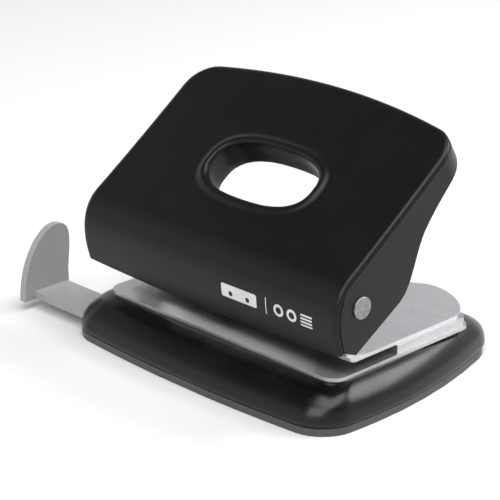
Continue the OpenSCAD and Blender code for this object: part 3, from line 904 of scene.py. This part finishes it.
def pivot_pin(side):
    """A stepped pin: its wide head fills the handle's side, its shaft has a clip groove."""
    profile = [(0.0, 0.0), (0.0, 1.6), (0.4, 2.0), (0.7, 2.0), (0.7, 1.6), (1.5, 1.6), (1.5, 2.0), (19.2, 2.0)]
    end = PIN_HI.x / MM - 32.0
    profile += [(19.2, 3.3), (19.4, 3.5)] + rounded_edge(end, 3.5, 0.45)
    profile += [(end - 0.05, 1.4), (end - 0.25, 0.7), (end - 0.3, 0.0)]
    bm = bmesh.new()
    turned(bm, profile, (side * 32.0, PIVOT_Y, PIVOT_Z), (side, 0, 0), 64)
    node = "pivot_pin_right" if side > 0 else "pivot_pin_left"
    obj = closed(bm, node + "_turned")
    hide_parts(node)
    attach(obj, "base")
    return obj


def rivet_group(node, places, profile):
    """A set of rivets set in the plates, each standing upright."""
    bm = bmesh.new()
    for x, y, z in places:
        turned(bm, profile, (x, y, z), (0, 0, 1), 32)
    obj = closed(bm, node + "_set")
    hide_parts(node)
    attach(obj, "base")
    return obj


FRAME_Z = 16.5
SHEET = 1.2
RIVET_X = 29.0
RIVET_YS = (-19.8, -13.9)
FRAME_RIVETS = ((15, 4), (15, 21), (-15, 4), (-15, 21))


def tower_rivets():
    places = [(x, y, FRAME_Z + 0.1) for x in (-RIVET_X, RIVET_X) for y in RIVET_YS]
    head = [(2.3, 1.5), (2.3, 2.3), (2.45, 2.42), (2.75, 2.3), (3.05, 1.9), (3.15, 1.5), (3.05, 1.15), (2.7, 0.95)]
    profile = [(0.0, 0.0), (0.0, 1.3), (0.2, 1.5)] + head + [(1.6, 0.9), (1.5, 0.0)]
    return rivet_group("tower_rivets", places, profile)


def frame_rivets():
    top = FRAME_Z + SHEET
    places = [(x, y, FRAME_Z - SHEET - 0.8) for x, y in FRAME_RIVETS]
    shank = top - 0.9 - (FRAME_Z - SHEET - 0.8)
    profile = [(0.0, 0.0), (0.0, 2.2), (0.2, 2.5), (0.8, 2.5), (0.8, 1.5), (shank, 1.5), (shank + 0.8, 2.4),
               (shank + 0.88, 2.2), (shank + 0.84, 0.0)]
    return rivet_group("frame_rivets", places, profile)


# ---------------------------------------------------------------- return springs
WIRE_R = 0.45
COIL_R = 3.65
SPRING_FOOT = FRAME_Z + SHEET
SPRING_TOP = 30.27


def return_spring(side):
    """A compression spring: flat end turns and rising turns between them."""
    name = "return_spring_right" if side > 0 else "return_spring_left"
    x = side * PUNCH_X
    bm = bmesh.new()
    tilt = Matrix.Rotation(math.radians(90), 4, "X")
    start = Matrix.Translation(Vector((x + COIL_R, PUNCH_Y, SPRING_FOOT + WIRE_R + 0.02)) * MM) @ tilt
    ring = bmesh.ops.create_circle(bm, cap_ends=True, segments=12, radius=WIRE_R * MM, matrix=start)["verts"]
    geom = list(bm.verts) + list(bm.edges) + list(bm.faces)
    rise = SPRING_TOP - SPRING_FOOT - 2 * WIRE_R - 0.06
    turns = ((0.75, 0.04), (0.25, 0.1), (3.5, 0.8), (0.25, 0.1), (0.75, 0.04))
    whole = sum(share for _, share in turns)
    for count, share in turns:
        steps = round(count * 32)
        lift = rise * share / whole / steps
        made = bmesh.ops.spin(bm, geom=geom, cent=(x * MM, PUNCH_Y * MM, 0), axis=(0, 0, 1),
                              dvec=(0, 0, lift * MM), angle=math.tau * count, steps=steps, use_duplicate=False)
        geom = made["geom_last"]
    obj = closed(bm, name + "_coil", 60)
    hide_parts(name)
    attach(obj, "base")
    return obj


# ---------------------------------------------------------------- printed signs on the handle
PRINT_Z = 32.6
PRINT_FROM = 8.5
PRINT_LIFT = 0.03


def ink_circle(bm, x, h, radius, segments=28):
    """A ring of edges in the flat drawing of the print."""
    matrix = Matrix.Translation((x, h, 0))
    made = bmesh.ops.create_circle(bm, cap_ends=False, segments=segments, radius=radius, matrix=matrix)["verts"]
    return list({e for v in made for e in v.link_edges}), made


def ink_card(bm, x, width, height, corner):
    """A rounded rectangle of edges in the flat drawing."""
    edges, verts = ink_circle(bm, 0, 0, 1, 40)
    for v in verts:
        v.co.x = x + math.copysign(width / 2 - corner, v.co.x) + v.co.x * corner
        v.co.y = math.copysign(height / 2 - corner, v.co.y) + v.co.y * corner
    return edges


def ink_fill(bm, edges):
    bmesh.ops.triangle_fill(bm, use_beauty=True, use_dissolve=False, edges=edges, normal=(0, 0, 1))


def ink_bar(bm, x, h, width, height):
    matrix = Matrix.Translation((x, h, 0)) @ Matrix.Diagonal((width, height, 1, 1))
    bmesh.ops.create_grid(bm, x_segments=1, y_segments=1, size=0.5, matrix=matrix)


def handle_print():
    """White signs: a sheet with its two holes, a thin line, two holes and a pile of sheets."""
    bm = bmesh.new()
    sheet = ink_card(bm, PRINT_FROM + 7.5, 15, 4.4, 0.7)
    for x in (-3.6, 3.6):
        sheet += ink_circle(bm, PRINT_FROM + 7.5 + x, -0.6, 0.85)[0]
    ink_fill(bm, sheet)
    ink_bar(bm, PRINT_FROM + 19, 0, 0.3, 5.6)
    for x in (24.2, 29.6):
        ring = ink_circle(bm, PRINT_FROM + x, 0, 2.0)[0] + ink_circle(bm, PRINT_FROM + x, 0, 1.15)[0]
        ink_fill(bm, ring)
    for i in range(4):
        ink_bar(bm, PRINT_FROM + 35.6, -1.65 + i * 1.1, 4.6, 0.55)
    for i in range(-6, 6):
        bmesh.ops.bisect_plane(bm, geom=list(bm.verts) + list(bm.edges) + list(bm.faces), dist=0.02,
                               plane_co=(0, i * 0.5 + 0.13, 0), plane_no=(0, 1, 0))
    middle = min((i * SKIN.length / 800 for i in range(400)), key=lambda t: abs(SKIN.at(t).y - PRINT_Z))
    for v in bm.verts:
        v.co = on_skin(v.co.x, middle + v.co.y, PRINT_LIFT)
    face_outward(bm, on_skin(PRINT_FROM, middle), Vector((0, -1, 0)))
    obj = finish_mesh(bm, "handle_signs")
    solidify(obj, 0.05)
    obj = with_modifiers(obj)
    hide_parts("handle_shell")
    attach(obj, "handle")
    return obj


def paint(obj, mat):
    obj.data.materials.clear()
    obj.data.materials.append(mat)
    return obj


camera()
studio()
handle_black = plastic("handle_black", (0.0026, 0.0026, 0.0038), (0.0036, 0.0036, 0.005), 0.33, 3600, 0.05, 0.005, 0.26)
base_black = plastic("base_black", (0.0022, 0.0022, 0.0032), (0.0034, 0.0034, 0.0046), 0.24, 4200, 0.06, 0.003, 0.36)
tray_grey = plastic("tray_grey", (0.045, 0.045, 0.047), (0.060, 0.060, 0.062), 0.45)
guide_grey = plastic("guide_grey", (0.27, 0.27, 0.275), (0.31, 0.31, 0.315), 0.4, 3200, 0.05, 0.006)
ink_white = plastic("ink_white", (0.50, 0.50, 0.50), (0.66, 0.66, 0.66), 0.5, 5200, 0.05, 0.004, 0.3)
plate_steel = steel("plate_steel", (0.60, 0.60, 0.61), (0.72, 0.72, 0.73), 0.33)
die_steel = steel("die_steel", (0.52, 0.52, 0.53), (0.62, 0.62, 0.63), 0.38)
tower_steel = steel("tower_steel", (0.5, 0.5, 0.5), (0.64, 0.64, 0.64), 0.36, (1, 1, 0.05))
pin_steel = steel("pin_steel", (0.17, 0.165, 0.165), (0.36, 0.35, 0.35), 0.36, (0.1, 1, 1))
rivet_steel = steel("rivet_steel", (0.55, 0.55, 0.55), (0.72, 0.72, 0.72), 0.3, (1, 1, 0.2))
spring_steel = steel("spring_steel", (0.42, 0.42, 0.42), (0.58, 0.58, 0.58), 0.28, (1, 1, 0.3))
punch_steel = steel("punch_steel", (0.6, 0.6, 0.6), (0.78, 0.78, 0.78), 0.2, (1, 1, 0.06))
screw_steel = steel("screw_steel", (0.36, 0.36, 0.37), (0.52, 0.52, 0.53), 0.34, (1, 1, 0.4))

for piece in handle():
    paint(piece, handle_black)
paint(handle_print(), ink_white)
paint(base_shell(), base_black)
paint(rounded_copy("chip_tray", 0.3), tray_grey)
paint(rounded_copy("die_plate", 0.5, 3), die_steel)
paint(rounded_copy("punch_frame", 0.15), plate_steel)
paint(rounded_copy("paper_guide", 0.45, 3), guide_grey)
for side in (-1, 1):
    name = "right" if side > 0 else "left"
    paint(pivot_pin(side), pin_steel)
    paint(rounded_copy("punch_tower_" + name, 0.12), tower_steel)
    spring = paint(return_spring(side), spring_steel)
    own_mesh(spring)
paint(tower_rivets(), rivet_steel)
paint(frame_rivets(), rivet_steel)
paint(rounded_copy("pressure_bar", 0.2), tower_steel)

CARRIED = {"base_screws": screw_steel, "bar_screws": screw_steel, "pivot_spacer_left": pin_steel,
           "pivot_spacer_right": pin_steel, "pivot_clip_left": spring_steel, "pivot_clip_right": spring_steel,
           "punch_pin_left": punch_steel, "punch_pin_right": punch_steel, "punch_clip_left": spring_steel,
           "punch_clip_right": spring_steel, "guide_detent": spring_steel}
for name, mat in CARRIED.items():
    for place in frame["nodes"][name].material_slots:
        place.material = mat
